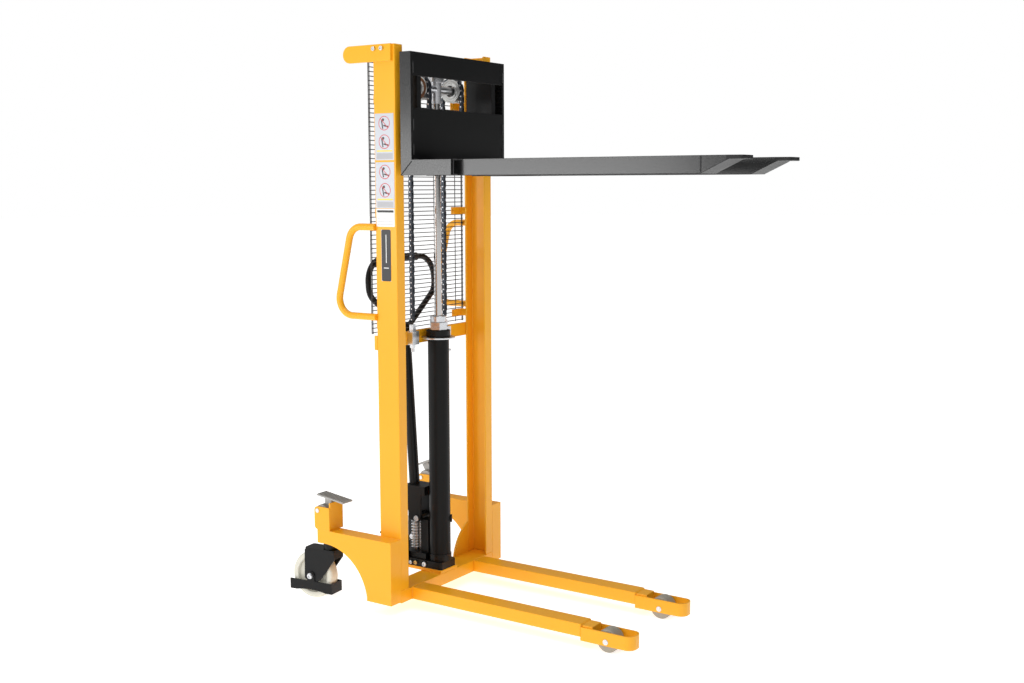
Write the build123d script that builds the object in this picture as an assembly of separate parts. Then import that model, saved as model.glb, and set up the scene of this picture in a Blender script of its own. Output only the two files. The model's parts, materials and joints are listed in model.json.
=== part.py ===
from build123d import *
import os

# Hand-pumped walkie stacker, forks raised.  Millimetres, +Z up, +X towards the fork tips,
# +Y to the left of someone who pushes it.  Everything is laid out from the mast's front
# face (x = 0) and the floor (z = 0), then moved so that the origin lies on the floor
# below the middle of the whole truck.

# ---- overall sizes ----
mast_height = 2040.0        # top of the mast channels above the floor
mast_width = 588.0          # over the outer faces of the two mast channels
mast_depth = 95.0           # of one channel, front to back
flange_length = 45.0        # of one channel, towards the middle
web_wall = 7.0
flange_wall = 8.0
fork_reach = 1272.0         # mast face to fork tip
fork_drop = 398.0           # load surface below the top of the mast, forks raised
lift_travel = 1550.0        # carriage travel down from the raised height

# ---- base ----
beam_bottom = 38.0
beam_height = 46.0
beam_wall = 6.0
side_width = 60.0           # of each box-shaped side frame
side_wall = 6.0
side_bottom = 44.0
arm_height = 51.0           # of the rear arm of a side frame
arm_rear = -350.0
foot_length = 114.0         # of the side frame where it is lowest
leg_centre = 196.5          # half the distance between the two legs
leg_width = 70.0
leg_wall = 5.0
leg_length = 718.0
gusset_wall = 8.0
gusset_height = 124.0
gusset_reach = 96.0

# ---- load rollers in the leg ends ----
load_roller_radius = 40.0
load_roller_side_gap = 5.0  # roller to housing, each side
load_roller_offset = 97.0     # roller axis beyond the end of the leg
load_axle_radius = 10.0
housing_gap = 1.0           # housing wider than the leg, each side
housing_wall = 6.0
housing_nose = 101.0        # housing front beyond the roller axis
housing_bottom = 26.5
housing_top = 73.5
housing_corner = 30.0
well_offset = 44.0          # rear end of the roller well beyond the leg

# ---- casters, guards and parking brakes ----
swivel_x = -325.0
caster_offset = 16.0        # swivel axis outside the mast's side
caster_turn = 6.3           # degrees that the casters stand turned outwards
wheel_radius = 90.0
wheel_width = 46.0
wheel_trail = 71.0          # axle behind the swivel axis
hub_radius = 22.0
hub_length = 50.0
wheel_axle_radius = 8.5
wheel_bolt_radius = 11.0
cheek_wall = 4.5
wheel_side_gap = 0.5        # hub to cheek, each side
crown_gap = 17.0            # wheel to crown top
crown_wall = 8.0
crown_rear_reach = 28.0     # behind the wheel axle
crown_front_reach = 106.5   # in front of the wheel axle
crown_apron = 26.0          # depth of the front plate below the crown
stem_radius = 14.0
bush_radius = 20.0
thrust_radius = 26.0
thrust_height = 30.0        # crown top to arm
retainer_height = 13.0
guard_wall = 3.0
guard_bottom = 29.0
guard_height = 40.0
guard_reach = 95.5          # both ways from the wheel axle
guard_arch = 7.0
guard_ear = 17.0
brake_offset = 21.5         # middle of the brake outside the mast's side
brake_width = 77.0
brake_box_rear = -363.0
brake_box_front = -290.0
brake_box_height = 87.0
brake_box_wall = 6.0
brake_front_rise = 18.0     # front wall above the side walls
brake_pin_x = -347.0
brake_pin_rise = 72.0       # above the arm
brake_pin_radius = 8.5
cam_radius = 31.0
cam_forward = 14.0          # middle of the cam from the pin
cam_down = 10.0
pedal_length = 130.0
pedal_width = 54.0
pedal_wall = 5.0
pedal_slope = 7.5           # degrees, front edge lower, brake on
pedal_rise = 48.0           # middle of the tread above the pin
pedal_forward = 51.0
pedal_lift = 30.0           # degrees that the tread goes up, brake off

# ---- lifting cylinder ----
ram_offset = 53.0           # axis of cylinder, rod and crosshead before the mast's rear face
barrel_radius = 40.0
barrel_bore = 32.0
barrel_bottom = 150.0
barrel_floor = 12.0
barrel_spare = 63.0         # barrel longer than half the lift travel
boss_radius = 15.0
boss_height = 285.0
collar_wall = 5.0           # collar outside the barrel
collar_height = 25.0
collar_overlap = 12.0
gland_radius = 34.5
gland_height = 54.0
ring_rim = 23.0             # ring outside the barrel
ring_wall = 6.0
rod_radius = 14.0
rod_head_height = 25.0
rod_head_depth = 50.0       # below the top of the barrel, ram out
crosshead_radius = 20.0
crosshead_flange_radius = 29.0
crosshead_flange_height = 17.0
crosshead_depth = 50.0      # below the pulley axle
crosshead_height = 94.0

# ---- chains and pulleys ----
pulley_rise = 259.0         # above the load surface
pulley_centre = 100.0       # sideways place of a chain
pulley_width = 26.0
pulley_rim_depth = 1.0      # rim below the pitch line of the chain
chain_pitch_radius = 44.0
chain_depth = 15.0
chain_width = 14.0
groove_width = 18.0
axle_radius = 15.0
axle_collar_radius = 21.0
axle_collar_width = 4.0
anchor_width = 40.0
anchor_depth = 24.0
stud_radius = 6.0
stud_nut_radius = 11.0
clevis_height = 25.0

# ---- crossbars of the mast ----
crossbar_wall = 14.0
mid_bar_drop = 35.0         # below the top of the barrel
mid_bar_height = 50.0
top_bar_drop = 50.0         # below the top of the mast
top_bar_height = 40.0

# ---- top lugs ----
lug_wall = 10.0
lug_rear = -225.0
lug_front = -10.0
lug_height = 59.0
lug_screw_radius = 7.0
lug_screw_head = 4.0
lug_screw_xs = (-83.0, -48.0)

# ---- wire guard and its brackets ----
wire_radius = 1.6
wire_pitch = 16.0
guard_wire_gap = 32.0       # behind the mast's rear face
guard_side_gap = 13.0       # inside the mast's sides
guard_low_gap = 9.0         # above the middle crossbar
guard_top_gap = 56.0        # below the top of the mast
guard_post_gaps = (61.0, 19.0, 13.0)
bracket_wall = 4.0
bracket_height = 28.0
bracket_length = 90.0
bracket_side_gap = 4.0
bracket_step = 35.0
bracket_low_gap = 31.0
bracket_top_gap = 185.0
clip_size = 12.0
clip_depth = 5.0

# ---- push handles behind the mast ----
handle_radius = 12.5
handle_offset = 2.0         # outside the mast's side
handle_upper = 1406.0
handle_lower = 1084.0
handle_upper_x = -206.0
handle_lower_x = -284.0
handle_upper_bend = 55.0
handle_lower_bend = 60.0

# ---- hand pump ----
plate_wall = 12.0
plate_half_width = 52.0
plate_margin = 6.0          # base plate behind the block
block_front = -3.0
block_behind = 44.0         # block behind the plunger
block_half_width = 49.0
block_height = 28.0
block_step_height = 51.0    # of the raised rear part
barrel_foot = 2.5           # flange round the foot of the barrel
plunger_offset = 114.0      # plunger behind the cylinder
plunger_radius = 12.0
plunger_cap_radius = 21.0
plunger_cap_height = 6.0
plunger_length = 120.0
plunger_cap_top = 268.0
plunger_stroke = 30.0
spring_radius = 20.5
spring_wire = 2.3
spring_pitch = 11.4
pivot_forward = 31.0        # tiller pivot in front of the plunger
pivot_z = 281.0
pivot_radius = 8.0
eye_radius = 15.0
post_half_width = 22.0
post_gap = 1.0              # post to barrel
post_depth = 36.0

# ---- tiller ----
tiller_lean = 3.5           # degrees, to the rear
press_roller_radius = 12.0
yoke_inner = 30.0
yoke_wall = 8.0
yoke_bottom = 374.0
yoke_top = 408.0
yoke_gap = 5.0              # yoke to barrel
shaft_radius = 20.0
shaft_bore = 16.0
shaft_top = 1034.0
loop_radius = 11.0
loop_apex = 1000.0
loop_half_width = 200.0
loop_shoulder = 1150.0
loop_top = 1282.0
loop_lower_bend = 60.0
loop_upper_bend = 85.0
grip_radius = 15.5
grip_half_length = 95.0
lever_pivot_y = -150.0
lever_pivot_drop = 22.0     # below the middle of the loop's top bar
lever_length = 125.0
lever_pin_radius = 3.0
lever_section = 8.0

# ---- foot lever of the lowering valve ----
foot_pivot_behind = 14.0    # behind the plunger
foot_pivot_z = 128.0
foot_pin_radius = 6.0
foot_arm_wall = 8.0
foot_pad_reach = 95.0       # rear edge behind the pivot
foot_pad_length = 60.0
foot_pad_width = 44.0
foot_arm_top = 214.0
foot_arm_height = 38.0

# ---- carriage and forks ----
carriage_rear = 18.0        # rear of the outer bars, in front of the mast face
carriage_depth = 48.0
carriage_inset = 5.0        # inside the mast's sides
carriage_bar = 12.0         # thickness of the outer bars
carriage_height = 369.0     # above the load surface
heel_front = 235.0
plate_thickness = 10.0
window_rise = 178.0         # above the load surface
window_height = 110.0
fork_rebate = 2.0           # step in the fork that the lower plate stands in
rebate_gap = 0.5
fork_height = 55.0
fork_wall = 5.0
fork_centre = 195.0
fork_side_gap = 16.0        # fork wall to roller housing, each side, forks down
fork_taper = 91.0
fork_tip_length = 40.0
fork_tip_height = 12.0
fork_tip_width = 84.0
inner_bar_gap = 7.0         # inner bars to the channel flanges
inner_bar_width = 24.0
inner_bar_reach = 12.5      # behind the guide rollers' axis
chain_bar_rear = 26.0
chain_bar_rise = 13.0
chain_bar_height = 35.0
chain_fork_height = 15.0
guide_roller_width = 30.0
guide_pin_radius = 12.0
guide_roller_rises = (58.0, 318.0)

# ---- clearances ----
running = 0.05              # radial, of a shaft in its hole
side_gap = 0.5              # between faces that pass each other
roller_gap = 0.5            # guide roller to channel flange, each side
chain_gap = 0.1             # chain to the bottom of the pulley groove

# ---- derived sizes ----
half_mast = mast_width / 2
fork_top = mast_height - fork_drop
beam_top = beam_bottom + beam_height
side_outer = half_mast + side_width
caster_centre = half_mast + caster_offset
caster_width = hub_length + 2 * (wheel_side_gap + cheek_wall)
crown_top = 2 * wheel_radius + crown_gap
arm_bottom = crown_top + thrust_height
side_top = arm_bottom + arm_height
brake_centre = half_mast + brake_offset
brake_pin_z = side_top + brake_pin_rise
load_roller_x = leg_length + load_roller_offset
housing_width = leg_width + 2 * housing_gap
load_roller_width = housing_width - 2 * (housing_wall + load_roller_side_gap)
housing_front = load_roller_x + housing_nose
well_rear = leg_length + well_offset
channel_inner = half_mast - flange_length
channel_web = half_mast - web_wall
guide_roller_radius = mast_depth / 2 - flange_wall - roller_gap
guide_roller_outer = channel_web - 4.0
guide_roller_inner = guide_roller_outer - guide_roller_width
guide_axis_x = -mast_depth / 2
wheel_x = swivel_x - wheel_trail
crown_rear = wheel_x - crown_rear_reach
crown_front = wheel_x + crown_front_reach
guard_rear = wheel_x - guard_reach
guard_front = wheel_x + guard_reach
fork_bottom = fork_top - fork_height
fork_width = housing_width + 2 * (fork_side_gap + fork_wall)
fork_taper_end = fork_reach - fork_tip_length
fork_taper_start = fork_taper_end - fork_taper
chain_outer = chain_pitch_radius + chain_depth / 2
chain_inner = chain_pitch_radius - chain_depth / 2
pulley_rim_radius = chain_pitch_radius - pulley_rim_depth
pulley_height = fork_top + pulley_rise
ram_x = -mast_depth + ram_offset
bar_front = -mast_depth
bar_rear = -mast_depth - crossbar_wall
rear_run_x = ram_x - chain_pitch_radius
front_run_x = ram_x + chain_pitch_radius
barrel_top = barrel_bottom + barrel_floor + lift_travel / 2 + barrel_spare
rod_head_bottom = barrel_top - rod_head_depth
crosshead_bottom = pulley_height - crosshead_depth
mid_bar_bottom = barrel_top - mid_bar_drop
top_bar_bottom = mast_height - top_bar_drop
anchor_top = mid_bar_bottom + mid_bar_height
rear_run_bottom = anchor_top + clevis_height
collar_bottom = barrel_top - collar_overlap
collar_radius = barrel_radius + collar_wall
ring_radius = barrel_radius + ring_rim
collar_top = collar_bottom + collar_height
pump_bottom = beam_top + plate_wall
block_top = pump_bottom + block_height
block_step_top = pump_bottom + block_step_height
plunger_cap_bottom = plunger_cap_top - plunger_cap_height
plunger_x = ram_x - plunger_offset
block_rear = plunger_x - block_behind
block_step_front = ram_x - barrel_radius
plate_rear = block_rear - plate_margin
pivot_x = plunger_x + pivot_forward
post_front = ram_x - barrel_radius - post_gap
post_rear = post_front - post_depth
foot_pivot_x = plunger_x - foot_pivot_behind
guard_wire_x = -mast_depth - guard_wire_gap
guard_half_width = half_mast - guard_side_gap
guard_low = anchor_top + guard_low_gap
guard_rows = int((mast_height - guard_top_gap - guard_low) / wire_pitch) + 1
bracket_outer = half_mast - bracket_side_gap
bracket_inner = bracket_outer - bracket_length
bracket_low = guard_low + bracket_low_gap
bracket_high = mast_height - bracket_top_gap
bracket_heights = (bracket_low, (bracket_low + bracket_high) / 2, bracket_high)
handle_side = half_mast + handle_offset
carriage_front = carriage_rear + carriage_depth
carriage_half_width = half_mast - carriage_inset
carriage_top = fork_top + carriage_height
window_bottom = fork_top + window_rise
window_top = window_bottom + window_height
inner_bar_outer = channel_inner - inner_bar_gap
inner_bar_inner = inner_bar_outer - inner_bar_width
inner_bar_rear = guide_axis_x - inner_bar_reach
chain_bar_bottom = fork_top + chain_bar_rise
front_run_bottom = chain_bar_bottom + chain_bar_height + chain_fork_height
guide_roller_heights = [fork_top + rise for rise in guide_roller_rises]
seat_height = fork_top - fork_rebate


def box(x0, x1, y0, y1, z0, z1):
    size = (abs(x1 - x0), abs(y1 - y0), abs(z1 - z0))
    middle = ((x0 + x1) / 2, (y0 + y1) / 2, (z0 + z1) / 2)
    return Pos(*middle) * Box(*size)


def upright(x, y, z0, z1, radius):
    return Pos(x, y, (z0 + z1) / 2) * Cylinder(radius, z1 - z0)


def crosswise(x, y0, y1, z, radius):
    return Pos(x, (y0 + y1) / 2, z) * Rot(90, 0, 0) * Cylinder(radius, abs(y1 - y0))


def side_profile(points, y0, y1):
    # a flat shape drawn in X and Z, made solid between two sideways places
    face = make_face(Polyline(*[(x, 0, z) for x, z in points], close=True))
    return extrude(Pos(0, y0, 0) * face, amount=abs(y1 - y0), dir=(0, 1, 0))


def mirrored(shape):
    return mirror(shape, about=Plane.XZ)


def one(shape):
    # a fused shape as its single solid
    return shape.solids()[0] if len(shape.solids()) == 1 else shape


nodes = {}


def add(name, *shapes):
    solids = [solid for shape in shapes for solid in shape.solids()]
    nodes[name] = solids[0] if len(solids) == 1 else Compound(children=solids)


def add_pair(name, shape):
    # the right-hand piece is drawn, the left-hand one is its mirror image
    add(name + "_right", shape)
    add(name + "_left", mirrored(shape))


# ---- mast channels, open towards the middle ----
channel = box(-mast_depth, 0, -half_mast, -channel_inner, beam_top, mast_height)
channel -= box(-mast_depth + flange_wall, -flange_wall, -channel_web, -channel_inner,
               beam_top, mast_height)
add_pair("mast_channel", channel)

# ---- crossbeam at the foot of the mast, with curved corner gussets ----
crossbeam = box(-mast_depth, 0, -half_mast, half_mast, beam_bottom, beam_top)
crossbeam -= box(-mast_depth + beam_wall, -beam_wall, -half_mast, half_mast,
                 beam_bottom + beam_wall, beam_top - beam_wall)
gusset_arc = ThreePointArc(
    (channel_inner - gusset_reach, beam_top),
    (channel_inner - 0.73 * gusset_reach, beam_top + 0.52 * gusset_height),
    (channel_inner, beam_top + gusset_height))
gusset_face = make_face(gusset_arc + Polyline(
    (channel_inner, beam_top + gusset_height), (channel_inner, beam_top),
    (channel_inner - gusset_reach, beam_top)))
gusset = extrude(Plane.YZ * gusset_face, amount=gusset_wall)
gusset = Pos(-mast_depth, 0, 0) * gusset
crossbeam = crossbeam + gusset + mirrored(gusset)
add("crossbeam", one(crossbeam))

# ---- side frames: hollow boxes with a rear arm and a round cut over the caster ----
arm_start = (swivel_x, arm_bottom)
arch_middle = (0.55 * swivel_x, side_bottom + 0.72 * (arm_bottom - side_bottom))
arch_end = (-foot_length, side_bottom + 14.0)


def side_outline():
    line = Polyline((arm_rear, arm_bottom), (arm_rear, side_top), (0, side_top),
                    (0, side_bottom), (-foot_length, side_bottom), arch_end)
    arch = ThreePointArc(arch_end, arch_middle, arm_start)
    floor = Line(arm_start, (arm_rear, arm_bottom))
    return make_face(line + arch + floor)


def xz_solid(face, y0, y1):
    # Plane.XZ looks along -Y, so the drawing is made at y1 and grows towards y0
    plane = Plane(origin=(0, y0, 0), x_dir=(1, 0, 0), z_dir=(0, -1, 0))
    return extrude(plane * face, amount=-(y1 - y0))


side_frame = xz_solid(side_outline(), -side_outer, -half_mast)
side_core = offset(side_outline(), amount=-side_wall, kind=Kind.INTERSECTION)
side_frame -= xz_solid(side_core, -side_outer + side_wall, -half_mast - side_wall)
side_frame -= box(-mast_depth + 20, -20, -half_mast - side_wall, -half_mast,
                  beam_top + 20, side_top - 30)
side_frame -= upright(swivel_x, -caster_centre, arm_bottom, side_top, bush_radius)
add_pair("side_frame", one(side_frame))

# ---- straddle legs ----
leg_inner = leg_centre - leg_width / 2
leg_outer = leg_centre + leg_width / 2
leg = box(0, leg_length, -leg_outer, -leg_inner, beam_bottom, beam_top)
leg -= box(0, leg_length, -leg_outer + leg_wall, -leg_inner - leg_wall,
           beam_bottom + leg_wall, beam_top - leg_wall)
add_pair("leg", leg)

# ---- roller housings: a strap bent round the roller, with a block that joins the leg ----
def housing_plan(inset):
    half = housing_width / 2 - inset
    front = housing_front - inset
    plan = Polyline((leg_length, -half), (front, -half), (front, half), (leg_length, half),
                    close=True)
    face = make_face(plan)
    corners = face.vertices().sort_by(Axis.X)[-2:]
    return fillet(corners, housing_corner - inset)


strap = Pos(0, -leg_centre, housing_bottom) * extrude(housing_plan(0), housing_top - housing_bottom)
strap -= Pos(0, -leg_centre, housing_bottom) * extrude(housing_plan(housing_wall),
                                                       housing_top - housing_bottom)
well_half = housing_width / 2 - housing_wall
joint_block = box(leg_length, well_rear, -leg_centre - well_half, -leg_centre + well_half,
                  beam_bottom, beam_top - 4)
housing = strap + joint_block
housing -= crosswise(load_roller_x, -leg_centre - 50, -leg_centre + 50, load_roller_radius,
                     load_axle_radius)
housing = one(housing)
add("roller_housings", housing, mirrored(housing))

load_roller = crosswise(load_roller_x, -leg_centre - load_roller_width / 2,
                        -leg_centre + load_roller_width / 2, load_roller_radius, load_roller_radius)
load_roller -= crosswise(load_roller_x, -leg_centre - 50, -leg_centre + 50, load_roller_radius,
                         load_axle_radius + running)
add_pair("load_roller", chamfer(load_roller.edges().filter_by(GeomType.CIRCLE).group_by(
    SortBy.RADIUS)[-1], 2))

# ---- casters ----
cheek_half = caster_width / 2
brake_half = brake_width / 2
bearing_bottom = crown_top + side_gap
caster_y = -caster_centre
brake_y = -brake_centre


def turned(shape):
    # the caster stands turned about its swivel axis
    return Pos(swivel_x, caster_y, 0) * Rot(0, 0, caster_turn) * Pos(-swivel_x, -caster_y, 0) * shape


crown = box(crown_rear, crown_front, caster_y - cheek_half, caster_y + cheek_half,
            crown_top - crown_wall, crown_top)
crown = fillet(crown.edges().filter_by(Axis.Z), 8)
cheek_points = [(crown_rear, crown_top - crown_wall), (crown_rear - 2, wheel_radius - 12),
                (wheel_x - 10, wheel_radius - 24), (wheel_x + 26, wheel_radius - 24),
                (wheel_x + 46, wheel_radius - 8), (crown_front, crown_top - crown_wall - crown_apron),
                (crown_front, crown_top - crown_wall)]
caster_fork = crown
for inner, outer in ((-cheek_half, -cheek_half + cheek_wall), (cheek_half - cheek_wall, cheek_half)):
    caster_fork += side_profile(cheek_points, caster_y + inner, caster_y + outer)
caster_fork += box(crown_front - cheek_wall, crown_front, caster_y - cheek_half,
                   caster_y + cheek_half, crown_top - crown_wall - crown_apron,
                   crown_top - crown_wall)
caster_fork -= crosswise(wheel_x, caster_y - 60, caster_y + 60, wheel_radius, wheel_axle_radius)
caster_fork += upright(swivel_x, caster_y, crown_top, side_top + brake_box_wall + 1, stem_radius)
caster_fork += upright(swivel_x, caster_y, side_top + brake_box_wall + side_gap,
                       side_top + brake_box_wall + retainer_height, bush_radius - 2)
add_pair("caster_fork", one(turned(caster_fork)))

bush = upright(swivel_x, caster_y, bearing_bottom, arm_bottom, thrust_radius)
bush += upright(swivel_x, caster_y, arm_bottom, side_top, bush_radius)
bush -= upright(swivel_x, caster_y, bearing_bottom, side_top, stem_radius + running)
bush = one(bush)
add("swivel_bearings", bush, mirrored(bush))

wheel = crosswise(wheel_x, caster_y - wheel_width / 2, caster_y + wheel_width / 2,
                  wheel_radius, wheel_radius)
wheel = fillet(wheel.edges().filter_by(GeomType.CIRCLE), 6)
for side in (-1, 1):
    dish = crosswise(wheel_x, caster_y + side * (wheel_width / 2 - 8),
                     caster_y + side * wheel_width / 2, wheel_radius, wheel_radius - 16)
    wheel -= dish
wheel += crosswise(wheel_x, caster_y - hub_length / 2, caster_y + hub_length / 2, wheel_radius,
                   hub_radius)
wheel -= crosswise(wheel_x, caster_y - 50, caster_y + 50, wheel_radius,
                   wheel_axle_radius + running)
add_pair("caster_wheel", one(turned(wheel)))

guard_outer = cheek_half + guard_wall
guard = box(guard_rear, guard_front, caster_y - guard_outer, caster_y + guard_outer,
            guard_bottom, guard_bottom + guard_height)
guard -= box(guard_rear, guard_front - guard_wall, caster_y - cheek_half, caster_y + cheek_half,
             guard_bottom, guard_bottom + guard_height)
for side in (-1, 1):
    ear = crosswise(wheel_x, caster_y + side * cheek_half, caster_y + side * guard_outer,
                    wheel_radius, guard_ear)
    ear += box(wheel_x - guard_ear, wheel_x + guard_ear, caster_y + side * cheek_half,
               caster_y + side * guard_outer, guard_bottom + guard_height - 4, wheel_radius)
    guard += ear
guard -= crosswise(wheel_x, caster_y - 60, caster_y + 60, wheel_radius, wheel_axle_radius)
arch_half = guard_reach - 30
arch_radius = (arch_half ** 2 + guard_arch ** 2) / (2 * guard_arch)
guard -= crosswise(wheel_x, caster_y - 60, caster_y + 60, guard_bottom + guard_arch - arch_radius,
                   arch_radius)
add_pair("wheel_guard", one(turned(guard)))

wheel_axle = crosswise(wheel_x, caster_y - guard_outer, caster_y + guard_outer, wheel_radius,
                       wheel_axle_radius)
for side in (-1, 1):
    wheel_axle += crosswise(wheel_x, caster_y + side * guard_outer,
                            caster_y + side * (guard_outer + 6), wheel_radius, wheel_bolt_radius)
add_pair("wheel_axle", one(turned(wheel_axle)))

# ---- parking brakes on the rear arms ----
brake_top = side_top + brake_box_height
brake_box = box(brake_box_rear, brake_box_front, brake_y - brake_half, brake_y + brake_half,
                side_top, brake_top)
brake_box = fillet(brake_box.edges().filter_by(Axis.Y).group_by(Axis.X)[0], 14)
brake_box -= box(brake_box_rear - 1, brake_box_front - brake_box_wall,
                 brake_y - brake_half + brake_box_wall, brake_y + brake_half - brake_box_wall,
                 side_top + brake_box_wall, brake_top)
brake_box += box(brake_box_front - brake_box_wall, brake_box_front,
                 brake_y - brake_half + brake_box_wall, brake_y + brake_half - brake_box_wall,
                 brake_top - 1, brake_top + brake_front_rise)
brake_box -= upright(swivel_x, caster_y, side_top, side_top + brake_box_wall, stem_radius + 2)
brake_box -= crosswise(brake_pin_x, brake_y - 50, brake_y + 50, brake_pin_z, brake_pin_radius)
brake_box = one(brake_box)
add("brake_housings", brake_box, mirrored(brake_box))

cam_half = brake_half - brake_box_wall - 2
tread_x = brake_pin_x + pedal_forward
tread_z = brake_pin_z + pedal_rise
brake_pedal = crosswise(brake_pin_x + cam_forward, brake_y - cam_half, brake_y + cam_half,
                        brake_pin_z - cam_down, cam_radius)
brake_pedal += box(brake_pin_x + cam_forward, brake_pin_x + cam_forward + cam_radius,
                   brake_y - 12, brake_y + 12, brake_pin_z, tread_z)
brake_pedal += Pos(tread_x, brake_y, tread_z) * Rot(0, pedal_slope, 0) * Box(
    pedal_length, pedal_width, pedal_wall)
brake_pedal -= crosswise(brake_pin_x, brake_y - 50, brake_y + 50, brake_pin_z,
                         brake_pin_radius + running)
brake_pedal = one(brake_pedal)
to_pin = Pos(brake_pin_x, 0, brake_pin_z)
add("brake_pedal_right", brake_pedal)
add("brake_pedal_left",
    to_pin * Rot(0, -pedal_lift, 0) * to_pin.inverse() * mirrored(brake_pedal))

# ---- crossbars between the channels ----
add("top_crossbar", box(bar_rear, bar_front, -half_mast + 4, half_mast - 4, top_bar_bottom,
                        top_bar_bottom + top_bar_height))
add("mid_crossbar", box(bar_rear, bar_front, -half_mast, half_mast, mid_bar_bottom, anchor_top))

# ---- lugs at the top of the mast, with their screws ----
lug_bottom = mast_height - lug_height
lug_round = lug_height / 2
lug = box(lug_rear + lug_round, lug_front, -half_mast - lug_wall, -half_mast, lug_bottom,
          mast_height)
lug += crosswise(lug_rear + lug_round, -half_mast - lug_wall, -half_mast,
                 mast_height - lug_round, lug_round)
lug = one(lug)
add("top_lugs", lug, mirrored(lug))

frame_bolts = []
for screw_x in lug_screw_xs:
    screw = crosswise(screw_x, -half_mast - lug_wall - lug_screw_head, -half_mast - lug_wall,
                      mast_height - 15, lug_screw_radius)
    frame_bolts += [screw, mirrored(screw)]

# ---- wire guard behind the mast ----
wires = []
for row in range(guard_rows):
    wires.append(crosswise(guard_wire_x, -guard_half_width, guard_half_width,
                           guard_low + row * wire_pitch, wire_radius))
guard_high = guard_low + (guard_rows - 1) * wire_pitch
for post_gap_out in guard_post_gaps:
    for side in (-1, 1):
        wires.append(upright(guard_wire_x - 2 * wire_radius, side * (half_mast - post_gap_out),
                             guard_low - wire_pitch / 3, guard_high + wire_pitch / 3, wire_radius))
add("wire_guard", *wires)

strip_rear = guard_wire_x + wire_radius
brackets = []
for height in bracket_heights:
    low = height - bracket_height / 2
    high = height + bracket_height / 2
    step_y = -bracket_outer + bracket_step
    bracket = box(-mast_depth - bracket_wall, -mast_depth, -bracket_outer, step_y, low, high)
    bracket += box(strip_rear, -mast_depth, step_y - bracket_wall, step_y, low, high)
    bracket += box(strip_rear, strip_rear + bracket_wall, step_y, -bracket_inner, low, high)
    bracket = one(bracket)
    clips = [box(strip_rear + bracket_wall, strip_rear + bracket_wall + clip_depth,
                 -bracket_inner - 4 - clip_size, -bracket_inner - 4,
                 height + side * 7 - clip_size / 2, height + side * 7 + clip_size / 2)
             for side in (-1, 1)]
    for piece in [bracket] + clips:
        brackets += [piece, mirrored(piece)]
add("guard_brackets", *brackets)

# ---- push handles ----
handle_path = FilletPolyline(
    (-mast_depth, -handle_side, handle_upper), (handle_upper_x, -handle_side, handle_upper),
    (handle_lower_x, -handle_side, handle_lower), (-mast_depth, -handle_side, handle_lower),
    radius=[handle_upper_bend, handle_lower_bend])
handle = sweep(Plane(origin=handle_path @ 0, z_dir=handle_path % 0) * Circle(handle_radius),
               path=handle_path)
add("push_handles", handle, mirrored(handle))

# ---- lifting cylinder ----
barrel = upright(ram_x, 0, barrel_bottom, barrel_top, barrel_radius)
barrel -= upright(ram_x, 0, barrel_bottom + barrel_floor, barrel_top, barrel_bore)
boss = Pos(ram_x, 0, boss_height) * Rot(0, 0, 33) * Pos(barrel_radius, 0, 0) * Rot(
    0, 90, 0) * Cylinder(boss_radius, 12)
barrel += boss - upright(ram_x, 0, boss_height - 30, boss_height + 30, barrel_radius - 1)
add("cylinder_barrel", one(barrel))

collar = upright(ram_x, 0, collar_bottom, collar_top, collar_radius)
collar -= upright(ram_x, 0, collar_bottom, barrel_top, barrel_radius)
collar -= upright(ram_x, 0, barrel_top, collar_top, rod_radius + 4)
add("cylinder_collar", one(collar))

gland = upright(ram_x, 0, collar_top, collar_top + gland_height, gland_radius)
gland = chamfer(gland.edges().filter_by(GeomType.CIRCLE).group_by(Axis.Z)[-1], 5)
gland -= upright(ram_x, 0, collar_top, collar_top + gland_height, rod_radius + running)
add("gland_nut", gland)

ring = upright(ram_x, 0, collar_bottom - ring_wall, collar_bottom, ring_radius)
ring -= upright(ram_x, 0, collar_bottom - ring_wall, collar_bottom, barrel_radius)
ring -= box(bar_front - 60, bar_front, -ring_radius, ring_radius, collar_bottom - ring_wall,
            collar_bottom)
add("cylinder_ring", one(ring))

rod = upright(ram_x, 0, rod_head_bottom, crosshead_bottom, rod_radius)
rod += upright(ram_x, 0, rod_head_bottom, rod_head_bottom + rod_head_height, barrel_bore - running)
add("piston_rod", one(rod))

crosshead_top = crosshead_bottom + crosshead_height
crosshead = upright(ram_x, 0, crosshead_bottom, crosshead_top, crosshead_radius)
crosshead += upright(ram_x, 0, crosshead_top - crosshead_flange_height, crosshead_top,
                     crosshead_flange_radius)
crosshead -= crosswise(ram_x, -60, 60, pulley_height, axle_radius)
add("crosshead", one(crosshead))

pulley_outer = pulley_centre + pulley_width / 2
pulley_axle = crosswise(ram_x, -pulley_outer - side_gap - axle_collar_width,
                        pulley_outer + side_gap + axle_collar_width, pulley_height, axle_radius)
for side in (-1, 1):
    pulley_axle += crosswise(ram_x, side * (pulley_outer + side_gap),
                             side * (pulley_outer + side_gap + axle_collar_width),
                             pulley_height, axle_collar_radius)
add("pulley_axle", one(pulley_axle))

pulley = crosswise(ram_x, -pulley_outer, -pulley_outer + pulley_width, pulley_height,
                   pulley_rim_radius)
groove = crosswise(ram_x, -pulley_centre - groove_width / 2, -pulley_centre + groove_width / 2,
                   pulley_height, pulley_rim_radius + 5)
groove -= crosswise(ram_x, -pulley_centre - groove_width / 2, -pulley_centre + groove_width / 2,
                    pulley_height, chain_inner - chain_gap)
pulley -= groove
pulley -= crosswise(ram_x, -pulley_outer - 5, pulley_outer, pulley_height, axle_radius + running)
pulley = one(pulley)
add("pulleys", pulley, mirrored(pulley))

# ---- lifting chains: two straight runs and the part that lies on the pulley ----
chain_half = chain_width / 2


def chain_run(x, z0, z1):
    run = box(x - chain_depth / 2, x + chain_depth / 2, -pulley_centre - chain_half,
              -pulley_centre + chain_half, z0, z1)
    return [run, mirrored(run)]


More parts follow.
